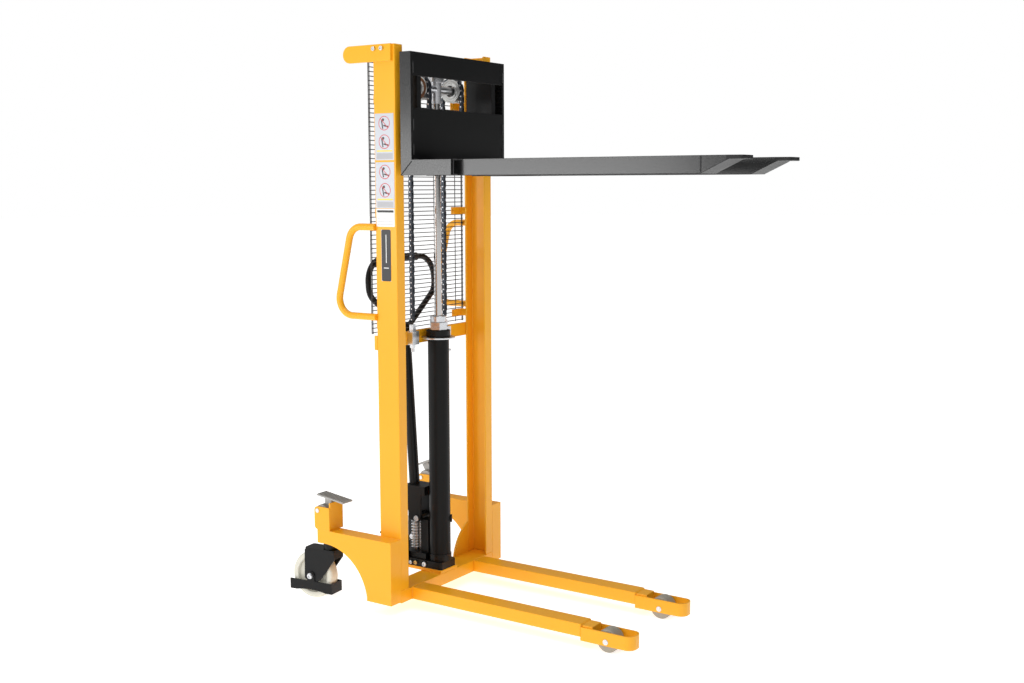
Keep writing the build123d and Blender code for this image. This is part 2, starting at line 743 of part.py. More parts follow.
add("chain_rear_runs", *chain_run(rear_run_x, rear_run_bottom, pulley_height))
add("chain_front_runs", *chain_run(front_run_x, front_run_bottom, pulley_height))
wrap = crosswise(ram_x, -pulley_centre - chain_half, -pulley_centre + chain_half, pulley_height,
                 chain_outer)
wrap -= crosswise(ram_x, -pulley_centre - chain_half, -pulley_centre + chain_half, pulley_height,
                  chain_inner)
wrap -= box(ram_x - chain_outer - 1, ram_x + chain_outer + 1, -pulley_centre - chain_half,
            -pulley_centre + chain_half, pulley_height - chain_outer - 1, pulley_height)
add("chain_wraps", wrap, mirrored(wrap))

# ---- chain anchors on the middle crossbar: a block and a clevis on a stud ----
anchor = box(bar_front, bar_front + anchor_depth, -pulley_centre - anchor_width / 2,
             -pulley_centre + anchor_width / 2, mid_bar_bottom, anchor_top)
anchor -= upright(rear_run_x, -pulley_centre, mid_bar_bottom, anchor_top, stud_radius)
stud = upright(rear_run_x, -pulley_centre, mid_bar_bottom - 28, anchor_top, stud_radius)
stud += box(rear_run_x - 8, rear_run_x + 8, -pulley_centre - 9, -pulley_centre + 9,
            anchor_top, rear_run_bottom)
nut_profile = RegularPolygon(stud_nut_radius, 6)
stud += Pos(rear_run_x, -pulley_centre, mid_bar_bottom - 12) * extrude(nut_profile, 12)
stud = one(stud)
add("chain_anchors", anchor, mirrored(anchor), stud, mirrored(stud))

# ---- hand pump ----
add("pump_plate", box(plate_rear, 0, -plate_half_width, plate_half_width, beam_top, pump_bottom))

block = box(block_rear, block_front, -block_half_width, block_half_width, pump_bottom, block_top)
block = chamfer(block.edges().filter_by(Axis.Z), 8)
block += box(block_rear + 4, block_step_front, -block_half_width + 8, block_half_width - 8,
             block_top - 1, block_step_top)
block += upright(ram_x, 0, block_top - 1, barrel_bottom, barrel_radius + barrel_foot)
block += box(post_rear, post_front, -post_half_width, post_half_width, block_step_top - 1,
             pivot_z - 6)
block += crosswise(pivot_x, -post_half_width, post_half_width, pivot_z, eye_radius)
block -= crosswise(pivot_x, -60, 60, pivot_z, pivot_radius)
plunger_low = plunger_cap_bottom - plunger_length
block -= upright(plunger_x, 0, plunger_low - plunger_stroke - 2, block_step_top,
                 plunger_radius + running)
foot_boss_y = -block_half_width
block -= crosswise(foot_pivot_x, foot_boss_y - 1, foot_boss_y + 20, foot_pivot_z, foot_pin_radius)
add("pump_block", one(block))

plunger = upright(plunger_x, 0, plunger_low, plunger_cap_bottom, plunger_radius)
plunger += upright(plunger_x, 0, plunger_cap_bottom, plunger_cap_top, plunger_cap_radius)
add("pump_plunger", one(plunger))

spring_turn = spring_radius - spring_wire
spring_low = block_step_top + spring_wire
spring_height = plunger_cap_bottom - spring_wire - spring_low
coil = Helix(pitch=spring_pitch, height=spring_height, radius=spring_turn)
spring = sweep(Plane(origin=coil @ 0, z_dir=coil % 0) * Circle(spring_wire), path=coil)
add("pump_spring", Pos(plunger_x, 0, spring_low) * spring)

# ---- tiller: yoke round the pump's eye, leaning shaft and hand loop ----
yoke_outer = yoke_inner + yoke_wall
yoke_front = ram_x - barrel_radius - yoke_gap
yoke_rear = plunger_x - shaft_radius - 8
cheek = [(pivot_x + 16, pivot_z - 4), (pivot_x + 18, pivot_z + 18), (pivot_x + 18, yoke_bottom),
         (yoke_front, yoke_bottom), (yoke_front, yoke_top), (yoke_rear, yoke_top),
         (yoke_rear, yoke_bottom), (plunger_x - 13, pivot_z + 32), (plunger_x - 4, pivot_z - 6),
         (plunger_x, pivot_z - 10), (pivot_x + 6, pivot_z - 16)]
yoke = side_profile(cheek, -yoke_outer, -yoke_inner)
yoke += side_profile(cheek, yoke_inner, yoke_outer)
yoke += box(yoke_rear, yoke_front, -yoke_inner - 1, yoke_inner + 1, yoke_bottom, yoke_top)
yoke += crosswise(plunger_x, -yoke_inner - 1, yoke_inner + 1, pivot_z, press_roller_radius)
yoke -= crosswise(pivot_x, -60, 60, pivot_z, pivot_radius + running)


def leaned(shape):
    # turned back about the press roller's axis
    return Pos(plunger_x, 0, pivot_z) * Rot(0, -tiller_lean, 0) * Pos(-plunger_x, 0, -pivot_z) * shape


shaft = upright(plunger_x, 0, yoke_top - 30, shaft_top, shaft_radius)
shaft -= upright(plunger_x, 0, yoke_top + 5, shaft_top - 40, shaft_bore)
loop_path = FilletPolyline(
    (plunger_x, 4, loop_apex + 4), (plunger_x, loop_half_width, loop_shoulder),
    (plunger_x, loop_half_width, loop_top), (plunger_x, -loop_half_width, loop_top),
    (plunger_x, -loop_half_width, loop_shoulder), (plunger_x, -4, loop_apex + 4),
    radius=[loop_lower_bend, loop_upper_bend, loop_upper_bend, loop_lower_bend])
loop = sweep(Plane(origin=loop_path @ 0, z_dir=loop_path % 0) * Circle(loop_radius), path=loop_path)
lever_pivot_z = loop_top - lever_pivot_drop
lever_lug = box(plunger_x - 11, plunger_x - 7, lever_pivot_y - 8, lever_pivot_y + 8,
                lever_pivot_z - 8, loop_top)
lever_lug += Pos(plunger_x - 4, lever_pivot_y, lever_pivot_z) * Rot(0, 90, 0) * Cylinder(
    lever_pin_radius, 14)
tiller = yoke + leaned(shaft + loop + lever_lug)
add("tiller", one(tiller))

grip = crosswise(plunger_x, -grip_half_length, grip_half_length, loop_top, grip_radius)
grip -= crosswise(plunger_x, -grip_half_length, grip_half_length, loop_top, loop_radius)
add("tiller_grip", leaned(grip))

lever_y = lever_pivot_y + lever_length
lever_z = lever_pivot_z - 18
release_lever = Pos(plunger_x, lever_pivot_y, lever_pivot_z) * Rot(0, 90, 0) * Cylinder(
    lever_section, lever_section)
release_lever += extrude(Pos(plunger_x - lever_section / 2, 0, 0) * make_face(Polyline(
    (0, lever_pivot_y - 5, lever_pivot_z - 4), (0, lever_pivot_y + 5, lever_pivot_z + 4),
    (0, lever_pivot_y + 45, lever_z + 6), (0, lever_y, lever_z + 6), (0, lever_y, lever_z - 4),
    (0, lever_pivot_y + 40, lever_z - 4), close=True)), amount=lever_section, dir=(1, 0, 0))
release_lever -= Pos(plunger_x, lever_pivot_y, lever_pivot_z) * Rot(0, 90, 0) * Cylinder(
    lever_pin_radius + running, 30)
add("release_lever", leaned(one(release_lever)))

# ---- foot lever of the lowering valve, beside the pump ----
foot_y = foot_boss_y - side_gap
foot_rear = foot_pivot_x - foot_pad_reach
foot_points = [(foot_pivot_x - 12, foot_pivot_z - 12), (foot_pivot_x + 12, foot_pivot_z - 12),
               (foot_pivot_x + 17, foot_arm_top - foot_arm_height), (foot_pivot_x + 17, foot_arm_top),
               (foot_rear, foot_arm_top), (foot_rear, foot_arm_top - 12),
               (foot_pivot_x - 14, foot_arm_top - foot_arm_height)]
foot_lever = side_profile(foot_points, foot_y - foot_arm_wall, foot_y)
foot_lever += box(foot_rear, foot_rear + foot_pad_length, foot_y - foot_pad_width, foot_y,
                  foot_arm_top, foot_arm_top + 6)
foot_lever -= crosswise(foot_pivot_x, foot_y - 40, foot_y + 10, foot_pivot_z,
                        foot_pin_radius + running)
add("foot_lever", one(foot_lever))

# ---- pins that the moving pieces turn on ----
pins = []
load_axle = crosswise(load_roller_x, -leg_centre - housing_width / 2 - 2,
                      -leg_centre + housing_width / 2 + 2, load_roller_radius, load_axle_radius)
brake_pin = crosswise(brake_pin_x, brake_y - brake_half - 3, brake_y + brake_half + 3,
                      brake_pin_z, brake_pin_radius)
for pin in (load_axle, brake_pin):
    pins += [pin, mirrored(pin)]
tiller_pin = crosswise(pivot_x, -yoke_outer - side_gap, yoke_outer + side_gap, pivot_z,
                       pivot_radius)
for side in (-1, 1):
    tiller_pin += crosswise(pivot_x, side * (yoke_outer + side_gap),
                            side * (yoke_outer + side_gap + 6), pivot_z, pivot_radius + 3)
pins.append(one(tiller_pin))
foot_pin = crosswise(foot_pivot_x, foot_boss_y - side_gap * 2 - foot_arm_wall, foot_boss_y + 20,
                     foot_pivot_z, foot_pin_radius)
foot_pin += crosswise(foot_pivot_x, foot_boss_y - side_gap * 2 - foot_arm_wall - 4,
                      foot_boss_y - side_gap * 2 - foot_arm_wall, foot_pivot_z,
                      foot_pin_radius + 4)
pins.append(one(foot_pin))
add("pivot_pins", *pins)

# ---- plugs and screws of pump and cylinder, and the floor stops of the side frames ----
for plug_forward, plug_radius, plug_rise in ((10, 6, 12), (34, 7, 14), (76, 9, 14)):
    frame_bolts.append(crosswise(plunger_x + plug_forward, -block_half_width - 4,
                                 -block_half_width, pump_bottom + plug_rise, plug_radius))
bleed_z = barrel_top - 64
bleed_screw = Pos(ram_x, 0, bleed_z) * Rot(0, 0, 35) * Pos(barrel_radius + 3.4, 0, 0) * Rot(
    0, 90, 0) * Cylinder(5, 8)
frame_bolts.append(bleed_screw - upright(ram_x, 0, bleed_z - 20, bleed_z + 20, barrel_radius))
floor_stop = upright(-foot_length + 12, caster_y, side_bottom - 14, side_bottom, 6)
frame_bolts += [floor_stop, mirrored(floor_stop)]
add("frame_bolts", *frame_bolts)

# ---- labels on the right-hand mast channel ----
label_wall = 0.6
label_drops = ((84, 399, 237), (84, 567, 406), (82, 632, 569), (42, 825, 642))
label_middle = -mast_depth / 2 - 1.5
labels = []
for label_width, drop_low, drop_high in label_drops:
    labels.append(box(label_middle - label_width / 2, label_middle + label_width / 2,
                      -half_mast - label_wall, -half_mast, mast_height - drop_low,
                      mast_height - drop_high))
add("mast_labels", *labels)

# ---- carriage: outer bars bent under the forks, cross plates with a window between ----
bar_inner = carriage_half_width - carriage_bar
outer_bar = box(carriage_rear, carriage_front, -carriage_half_width, -bar_inner, fork_bottom,
                carriage_top)
outer_bar += box(carriage_rear, heel_front, -carriage_half_width, -bar_inner, fork_bottom,
                 fork_top)
add_pair("carriage_bar", one(outer_bar))

plate_rear_x = carriage_front - plate_thickness
add("carriage_plates",
    box(plate_rear_x, carriage_front, -bar_inner, bar_inner, seat_height, window_bottom),
    box(plate_rear_x, carriage_front, -bar_inner, bar_inner, window_top, carriage_top))

back_frame = box(chain_bar_rear, plate_rear_x, -inner_bar_outer, inner_bar_outer,
                 chain_bar_bottom, chain_bar_bottom + chain_bar_height)
for side in (-1, 1):
    back_frame += box(inner_bar_rear, plate_rear_x, side * inner_bar_inner,
                      side * inner_bar_outer, seat_height, carriage_top)
    back_frame += box(front_run_x - 10, chain_bar_rear + 1, side * (pulley_centre - 12),
                      side * (pulley_centre + 12), chain_bar_bottom,
                      chain_bar_bottom + chain_bar_height)
    back_frame += box(front_run_x - 8, front_run_x + 8, side * (pulley_centre - 9),
                      side * (pulley_centre + 9), chain_bar_bottom, front_run_bottom)
    for height in guide_roller_heights:
        back_frame += crosswise(guide_axis_x, side * (inner_bar_outer - 4),
                                side * (guide_roller_outer + 2), height, guide_pin_radius)
add("carriage_back_frame", one(back_frame))

for name, height in zip(("guide_rollers_lower", "guide_rollers_upper"), guide_roller_heights):
    roller = crosswise(guide_axis_x, -guide_roller_outer, -guide_roller_inner, height,
                       guide_roller_radius)
    roller -= crosswise(guide_axis_x, -guide_roller_outer, -guide_roller_inner, height,
                        guide_pin_radius + running)
    add(name, roller, mirrored(roller))

# ---- forks: inverted channels with a tapered tip, so that they close over the legs ----
fork_outer = fork_centre + fork_width / 2
fork_inner = fork_centre - fork_width / 2
tip_bottom = fork_top - fork_tip_height
fork_side = [(carriage_rear, fork_bottom), (fork_taper_start, fork_bottom),
             (fork_taper_end, tip_bottom), (fork_reach, tip_bottom), (fork_reach, fork_top),
             (carriage_front + rebate_gap, fork_top), (carriage_front + rebate_gap, seat_height),
             (carriage_rear, seat_height)]
fork = side_profile(fork_side, -fork_outer, -fork_inner)
fork_hollow = [(carriage_rear - 1, fork_bottom - 1), (fork_taper_start - 4, fork_bottom - 1),
               (fork_taper_end - 22, tip_bottom - 3), (fork_taper_end - 22, fork_top - fork_wall),
               (carriage_rear - 1, fork_top - fork_wall)]
fork -= side_profile(fork_hollow, -fork_outer + fork_wall, -fork_inner - fork_wall)
tip_half = fork_tip_width / 2
tip_plan = make_face(Polyline(
    (fork_taper_end - 10, -fork_width / 2), (fork_reach, -tip_half), (fork_reach, tip_half),
    (fork_taper_end - 10, fork_width / 2), (fork_reach + 20, fork_width / 2),
    (fork_reach + 20, -fork_width / 2), close=True))
fork -= Pos(0, -fork_centre, fork_bottom) * extrude(tip_plan, fork_height)
fork = fillet(fork.edges().filter_by(Axis.Z).group_by(Axis.X)[-1], 16)
add_pair("fork", one(fork))

# ---- one STEP file for each node, about the truck's own origin ----
rear_end = min(shape.bounding_box().min.X for shape in nodes.values())
origin_x = (fork_reach + rear_end) / 2
os.makedirs("parts", exist_ok=True)
for node_name, shape in nodes.items():
    placed = [Pos(-origin_x, 0, 0) * solid for solid in shape.solids()]
    export_step(Compound(children=placed), "parts/" + node_name + ".step")
print(len(nodes), "nodes written, origin", round(origin_x, 2), "mm in front of the mast face")
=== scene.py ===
import json
import math

import bmesh
import bpy
from mathutils import Matrix, Vector


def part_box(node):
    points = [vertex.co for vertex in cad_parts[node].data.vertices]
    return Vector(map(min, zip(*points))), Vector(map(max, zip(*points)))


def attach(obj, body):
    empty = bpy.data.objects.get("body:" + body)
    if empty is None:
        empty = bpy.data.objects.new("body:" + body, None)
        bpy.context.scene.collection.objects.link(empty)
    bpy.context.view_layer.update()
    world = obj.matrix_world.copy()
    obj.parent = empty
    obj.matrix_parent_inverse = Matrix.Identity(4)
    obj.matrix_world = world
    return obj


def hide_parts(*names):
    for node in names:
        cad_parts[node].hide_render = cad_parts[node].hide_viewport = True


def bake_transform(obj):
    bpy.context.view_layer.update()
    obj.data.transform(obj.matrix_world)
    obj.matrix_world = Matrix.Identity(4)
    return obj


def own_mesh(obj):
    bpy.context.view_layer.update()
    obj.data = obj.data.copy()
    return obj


# Looks of a hand-pumped walkie stacker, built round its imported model.  Metres, +X towards
# the fork tips, +Y to the left of the operator, +Z up.

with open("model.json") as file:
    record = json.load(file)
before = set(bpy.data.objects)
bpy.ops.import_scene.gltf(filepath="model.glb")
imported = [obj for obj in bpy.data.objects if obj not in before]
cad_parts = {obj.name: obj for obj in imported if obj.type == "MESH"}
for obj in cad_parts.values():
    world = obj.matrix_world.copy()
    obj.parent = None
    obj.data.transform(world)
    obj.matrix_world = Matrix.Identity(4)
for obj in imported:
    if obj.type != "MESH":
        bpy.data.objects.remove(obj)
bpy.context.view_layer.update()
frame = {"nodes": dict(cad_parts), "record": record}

record = frame["record"]
BODY = {node: body for body, members in record["behaviour"]["bodies"].items() for node in members}
SLOT = {part["node"]: part["material_slot"] for part in record["subparts"]}
MM = 0.001


# ---- materials: every surface has its own grain, cloud of colour and bump ----

def surface(name, colour, rough, metallic=0.0, coat=0.0, coat_rough=0.15, cloud=0.06,
            cloud_size=0.12, grain_size=0.0015, grain=0.10, rough_spread=0.08, streak=None,
            specular=0.5, painted_shade_below=False):
    """A node material.  Sizes are in metres: cloud_size of the slow colour drift, grain_size of
    the fine bump.  streak stretches the grain along one axis, as brushing or turning does.
    The last switch takes the coat and gloss off faces that point down, so that undersides are darkened
    as painted shade."""
    material = bpy.data.materials.new(name)
    material.use_nodes = True
    tree = material.node_tree
    shader = tree.nodes["Principled BSDF"]
    shader.inputs["Metallic"].default_value = metallic
    shader.inputs["Coat Weight"].default_value = coat
    shader.inputs["Coat Roughness"].default_value = coat_rough
    shader.inputs["Specular IOR Level"].default_value = specular

    place = tree.nodes.new("ShaderNodeTexCoord").outputs["Object"]
    slow = noise(tree, place, 1 / cloud_size, 3.0)
    fine = noise(tree, stretched(tree, place, streak), 1 / grain_size, 2.0)

    dark = [c * (1 - cloud) for c in colour]
    light = [min(1.0, c * (1 + cloud)) for c in colour]
    tint = mixed(tree, slow, dark, light)
    # painted shade: coat and gloss fall to a twentieth on faces that point down, so undersides look
    # dark
    if painted_shade_below:
        normal = tree.nodes.new("ShaderNodeSeparateXYZ")
        tree.links.new(tree.nodes.new("ShaderNodeNewGeometry").outputs["Normal"], normal.inputs[0])
        for socket, full in (("Coat Weight", coat), ("Specular IOR Level", specular)):
            tree.links.new(ranged(tree, normal.outputs["Z"], -0.35, -0.1, 0.05 * full, full),
                           shader.inputs[socket])
    tree.links.new(tint, shader.inputs["Base Color"])
    tree.links.new(ranged(tree, fine, 0.3, 0.7, rough - rough_spread, rough + rough_spread),
                   shader.inputs["Roughness"])
    bump = tree.nodes.new("ShaderNodeBump")
    bump.inputs["Strength"].default_value = grain
    bump.inputs["Distance"].default_value = grain_size * 0.25
    tree.links.new(fine, bump.inputs["Height"])
    tree.links.new(bump.outputs["Normal"], shader.inputs["Normal"])
    return material


def noise(tree, place, scale, detail):
    node = tree.nodes.new("ShaderNodeTexNoise")
    node.inputs["Scale"].default_value = scale
    node.inputs["Detail"].default_value = detail
    tree.links.new(place, node.inputs["Vector"])
    return node.outputs["Fac"]


def stretched(tree, place, axis):
    if axis is None:
        return place
    node = tree.nodes.new("ShaderNodeMapping")
    node.inputs["Scale"].default_value = [0.04 if a == axis else 1.0 for a in "xyz"]
    tree.links.new(place, node.inputs["Vector"])
    return node.outputs["Vector"]


def mixed(tree, factor, low, high):
    node = tree.nodes.new("ShaderNodeMix")
    node.data_type = "RGBA"
    tree.links.new(factor, node.inputs["Factor"])
    node.inputs["A"].default_value = (*low, 1.0)
    node.inputs["B"].default_value = (*high, 1.0)
    return node.outputs["Result"]


def ranged(tree, value, from_low, from_high, to_low, to_high):
    node = tree.nodes.new("ShaderNodeMapRange")
    node.inputs["From Min"].default_value = from_low
    node.inputs["From Max"].default_value = from_high
    node.inputs["To Min"].default_value = to_low
    node.inputs["To Max"].default_value = to_high
    tree.links.new(value, node.inputs["Value"])
    return node.outputs["Result"]


YELLOW = surface("yellow_powder_coat", (1.0, 0.45, 0.012), 0.36, coat=0.12, cloud=0.03, grain=0.12,
                 specular=0.35)
# the forks take painted shade on their undersides through the last switch
FORK_BLACK = surface("fork_black_gloss", (0.0055, 0.0058, 0.006), 0.27, cloud=0.12, grain=0.12,
                     coat=0.4, coat_rough=0.16, painted_shade_below=True)
BLACK = surface("black_powder_coat", (0.006, 0.0062, 0.0065), 0.36, cloud=0.12, grain=0.15,
                specular=0.22)
BLACK_OIL = surface("black_barrel_paint", (0.009, 0.009, 0.009), 0.36, cloud=0.1, grain=0.1,
                    specular=0.12)
WELD = surface("weld_black", (0.05, 0.05, 0.052), 0.3, metallic=0.3, cloud=0.4, cloud_size=0.006,
               grain=0.4)
ZINC = surface("zinc_plate", (0.70, 0.71, 0.73), 0.30, metallic=1.0, cloud=0.08, cloud_size=0.02)
STEEL = surface("turned_steel", (0.42, 0.42, 0.41), 0.33, metallic=1.0, cloud=0.12,
                cloud_size=0.03, grain_size=0.0008, streak="y")
BRONZE = surface("oiled_rim", (0.17, 0.075, 0.035), 0.45, metallic=0.4, cloud=0.25, cloud_size=0.02)
CHROME = surface("chrome_rod", (0.50, 0.49, 0.48), 0.12, metallic=1.0, cloud=0.03,
                 rough_spread=0.04, grain=0.03)
CHAIN = surface("chain_plate", (0.055, 0.062, 0.075), 0.35, metallic=0.7, cloud=0.3,
                cloud_size=0.01, grain=0.2)
PIN = surface("chain_pin", (0.75, 0.76, 0.78), 0.25, metallic=1.0, cloud=0.1, cloud_size=0.004)
NYLON = surface("nylon", (0.74, 0.72, 0.62), 0.42, cloud=0.05, cloud_size=0.03, grain=0.06)
ROLLER = surface("roller_plastic", (0.36, 0.33, 0.27), 0.45, cloud=0.12, cloud_size=0.01,
                 grain=0.12)
CAST = surface("cast_tread", (0.42, 0.41, 0.39), 0.5, metallic=0.35, cloud=0.12, cloud_size=0.02,
               grain_size=0.002, grain=0.3)
RUBBER = surface("grip_rubber", (0.018, 0.018, 0.018), 0.62, cloud=0.1, grain=0.3)
WIRE = surface("wire_coat", (0.02, 0.02, 0.022), 0.4, cloud=0.1, grain=0.1)
BRASS = surface("brass", (0.65, 0.42, 0.16), 0.32, metallic=1.0, cloud=0.1, cloud_size=0.01)
FILM = surface("label_film", (0.56, 0.58, 0.63), 0.35, coat=0.3, cloud=0.02, grain=0.04)
WHITE = surface("label_white", (0.88, 0.88, 0.86), 0.35, coat=0.3, cloud=0.02, grain=0.04)
RED = surface("label_red", (0.62, 0.06, 0.07), 0.4, cloud=0.05, grain=0.04)
AMBER = surface("label_amber", (0.95, 0.72, 0.12), 0.4, cloud=0.05, grain=0.04)
INK = surface("label_ink", (0.03, 0.03, 0.032), 0.4, cloud=0.1, grain=0.04)
GREY_INK = surface("label_grey_ink", (0.48, 0.48, 0.50), 0.45, cloud=0.06, grain=0.04)

FINISH = {"yellow_paint": YELLOW, "black_paint": BLACK, "zinc_plate": ZINC,
          "machined_steel": STEEL, "chain_steel": CHAIN, "chrome_rod": CHROME, "nylon": NYLON,
          "roller_plastic": ROLLER, "cast_grey": CAST, "grip_rubber": RUBBER, "label_film": FILM}


def painted(thing, material):
    thing.data.materials.clear()
    thing.data.materials.append(material)
    return thing


for node, thing in frame["nodes"].items():
    painted(thing, FINISH[SLOT[node]])
painted(frame["nodes"]["cylinder_barrel"], BLACK_OIL)
painted(frame["nodes"]["wire_guard"], WIRE)
painted(frame["nodes"]["swivel_bearings"], BLACK)
for node in ("fork_right", "fork_left", "carriage_bar_right", "carriage_bar_left"):
    painted(frame["nodes"][node], FORK_BLACK)


# ---- mesh tools ----

def piece(name, mesh_data, body, material, smooth=40):
    """A new piece of the object from bmesh data: it rides on a body and has a finish."""
    mesh = bpy.data.meshes.new(name)
    mesh_data.to_mesh(mesh)
    mesh_data.free()
    thing = bpy.data.objects.new(name, mesh)
    bpy.context.scene.collection.objects.link(thing)
    mesh.shade_smooth()
    mesh.set_sharp_from_angle(angle=math.radians(smooth))
    painted(thing, material)
    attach(thing, body)
    return thing


def softened(node, width, steps=2, least=35):
    """The node with its sharp edges rounded as its real bends, castings and paint are."""
    data = bmesh.new()
    data.from_mesh(frame["nodes"][node].data)
    bmesh.ops.remove_doubles(data, verts=data.verts, dist=1e-6)
    bmesh.ops.dissolve_limit(data, angle_limit=math.radians(0.6), verts=data.verts,
                             edges=data.edges)
    sharp = [e for e in data.edges
             if e.is_manifold and e.calc_face_angle(0) > math.radians(least)]
    bmesh.ops.bevel(data, geom=sharp, offset=width, segments=steps, profile=0.5,
                    affect="EDGES", clamp_overlap=True)
    made = piece(node + ".finished", data, BODY[node],
                 frame["nodes"][node].data.materials[0])
    weighted = made.modifiers.new("weighted", "WEIGHTED_NORMAL")
    weighted.keep_sharp = True
    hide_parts(node)
    return made


SOFT_WIDTHS = {
    "mast_channel_right": 2.5, "mast_channel_left": 2.5, "crossbeam": 1.5,
    "side_frame_right": 1.6, "side_frame_left": 1.6, "leg_right": 4.0, "leg_left": 4.0,
    "roller_housings": 1.2, "brake_housings": 1.6, "top_crossbar": 1.5, "mid_crossbar": 1.5,
    "top_lugs": 1.2, "carriage_bar_right": 1.2, "carriage_bar_left": 1.2,
    "carriage_plates": 1.0, "carriage_back_frame": 1.0, "fork_right": 2.0, "fork_left": 2.0,
    "caster_fork_right": 1.2, "caster_fork_left": 1.2, "pump_plate": 1.2, "pump_block": 1.5,
    "crosshead": 1.0, "chain_anchors": 0.8, "tiller_grip": 1.5, "push_handles": 0.5,
    "cylinder_ring": 1.0, "release_lever": 0.8, "foot_lever": 1.0, "guard_brackets": 0.6,
    "cylinder_collar": 1.5, "pivot_pins": 1.0, "pump_plunger": 0.8, "tiller": 1.0}
for node, width in SOFT_WIDTHS.items():
    softened(node, width * MM)


# ---- parts that are turned on a lathe ----

mast_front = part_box("mast_channel_right")[1][0]


def at(x, y, z):
    """A point from millimetres in front of the mast's front face, to the left and up."""
    return Vector((mast_front + x * MM, y * MM, z * MM))


def turned(data, profile, centre, axis, steps=64, radius_at=None):
    """Adds a closed profile of (radius, height) in mm, turned about an axis through centre."""
    spin = Vector(axis).normalized()
    side = spin.orthogonal().normalized()
    other = spin.cross(side)
    rings = []
    for step in range(steps):
        angle = 2 * math.pi * step / steps
        out = side * math.cos(angle) + other * math.sin(angle)
        share = radius_at(step) if radius_at else 1.0
        rings.append([data.verts.new(centre + out * (r * share * MM) + spin * (h * MM))
                      for r, h in profile])
    for step in range(steps):
        this, following = rings[step], rings[(step + 1) % steps]
        for i in range(len(profile)):
            j = (i + 1) % len(profile)
            data.faces.new((this[i], this[j], following[j], following[i]))
    bmesh.ops.recalc_face_normals(data, faces=data.faces)


def block(data, low, high, place=Matrix.Identity(4)):
    """Adds a plain box between two corners, then placed by a matrix."""
    corners = [(x, y, z) for x in (low[0], high[0]) for y in (low[1], high[1])
               for z in (low[2], high[2])]
    verts = [data.verts.new(place @ Vector(c)) for c in corners]
    for quad in ((0, 1, 3, 2), (4, 6, 7, 5), (0, 4, 5, 1), (2, 3, 7, 6), (0, 2, 6, 4), (1, 5, 7, 3)):
        data.faces.new([verts[i] for i in quad])


def prism(data, outline, low, high):
    """Adds an outline of (x, z) points run between two sideways places."""
    near = [data.verts.new((x, low, z)) for x, z in outline]
    far = [data.verts.new((x, high, z)) for x, z in outline]
    count = len(outline)
    data.faces.new(near)
    data.faces.new(list(reversed(far)))
    for i in range(count):
        j = (i + 1) % count
        data.faces.new((near[j], near[i], far[i], far[j]))


JOINTS = {joint["name"]: joint for joint in record["behaviour"]["joints"]}


def joint_place(name):
    return Vector(JOINTS[name]["pos_m"])


WHEEL = [(9, -25), (22, -25), (22, -10), (64, -10), (67, -21), (70, -23), (82, -23), (87, -20),
         (90, -13), (90, 13), (87, 20), (82, 23), (70, 23), (67, 21), (64, 10), (22, 10), (22, 25),
         (9, 25)]
for side in ("right", "left"):
    data = bmesh.new()
    turned(data, WHEEL, joint_place("wheel_%s_spin" % side),
           JOINTS["wheel_%s_spin" % side]["axis"], steps=96)
    wheel = piece("caster_wheel_%s.turned" % side, data, "wheel_" + side, NYLON)
    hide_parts("caster_wheel_" + side)

    groove = [(10, -25), (37, -25), (39, -24)]
    for rib in range(9):
        middle = -20 + 5 * rib
        groove += [(40, middle - 1.8), (40, middle + 1.6), (39.1, middle + 2.1),
                   (39.1, middle + 2.7)]
    groove += [(39, 24), (37, 25), (10, 25)]
    data = bmesh.new()
    turned(data, groove, joint_place("load_roller_%s_spin" % side), (0, 1, 0), steps=72)
    roller = piece("load_roller_%s.turned" % side, data, "load_roller_" + side, ROLLER)
    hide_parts("load_roller_" + side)

CHAIN_CENTRE = 100.0
pulley_middle = joint_place("pulley_spin")
PULLEY = [(21.5, -13), (28, -13), (30, -11), (36, -11), (38, -13), (42, -13), (43, -12),
          (43, -9), (37.5, -7.2), (36.3, -7.1), (36.3, 7.1), (37.5, 7.2), (43, 9), (43, 12),
          (42, 13), (38, 13), (36, 11), (30, 11), (28, 13), (21.5, 13)]
RIM = [(31, -13.2), (40, -13.2), (41, -13.0), (41, -11), (31, -11)]
data = bmesh.new()
for side in (-1, 1):
    turned(data, PULLEY, pulley_middle + Vector((0, side * CHAIN_CENTRE * MM, 0)), (0, 1, 0))
pulleys = piece("pulleys.turned", data, "pulleys", STEEL)
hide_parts("pulleys")
data = bmesh.new()
turned(data, RIM, pulley_middle - Vector((0, CHAIN_CENTRE * MM, 0)), (0, 1, 0))
piece("pulley_rim", data, "pulleys", BRONZE)

ram_middle = at(-42, 0, 0)
data = bmesh.new()
# a hexagon's flats stand out this share of the way its corners do
FLAT_SHARE = 0.87
hexagon = [1.0 / math.cos(math.radians((15 * step + 30) % 60 - 30)) * FLAT_SHARE for step in range(24)]
turned(data, [(14.5, 1013), (33, 1013), (34.5, 1015), (34.5, 1042), (33, 1044), (14.5, 1044)],
       ram_middle, (0, 0, 1), steps=24, radius_at=lambda step: hexagon[step])
turned(data, [(14.5, 1044), (29, 1044), (30, 1045.5), (30, 1065), (28.5, 1067), (14.5, 1067)],
       ram_middle, (0, 0, 1))
nut = piece("gland_nut.turned", data, "frame", ZINC, smooth=25)
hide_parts("gland_nut")
data = bmesh.new()
turned(data, [(40.2, 988), (43.5, 988), (45, 989.5), (45, 1011.5), (43.5, 1013), (35, 1013)],
       ram_middle, (0, 0, 1), steps=160, radius_at=lambda step: 1.0 - 0.018 * (step % 2))
piece("cylinder_collar.knurl", data, "frame", BLACK_OIL, smooth=10)


# ---- leaf chains: plates in two alternating rows, held by pins ----

LINKS_ON_PULLEY = 7
PITCH_RADIUS = 44.0
PITCH = 2 * PITCH_RADIUS * math.sin(math.pi / LINKS_ON_PULLEY / 2)
LINK_HALF = 7.2


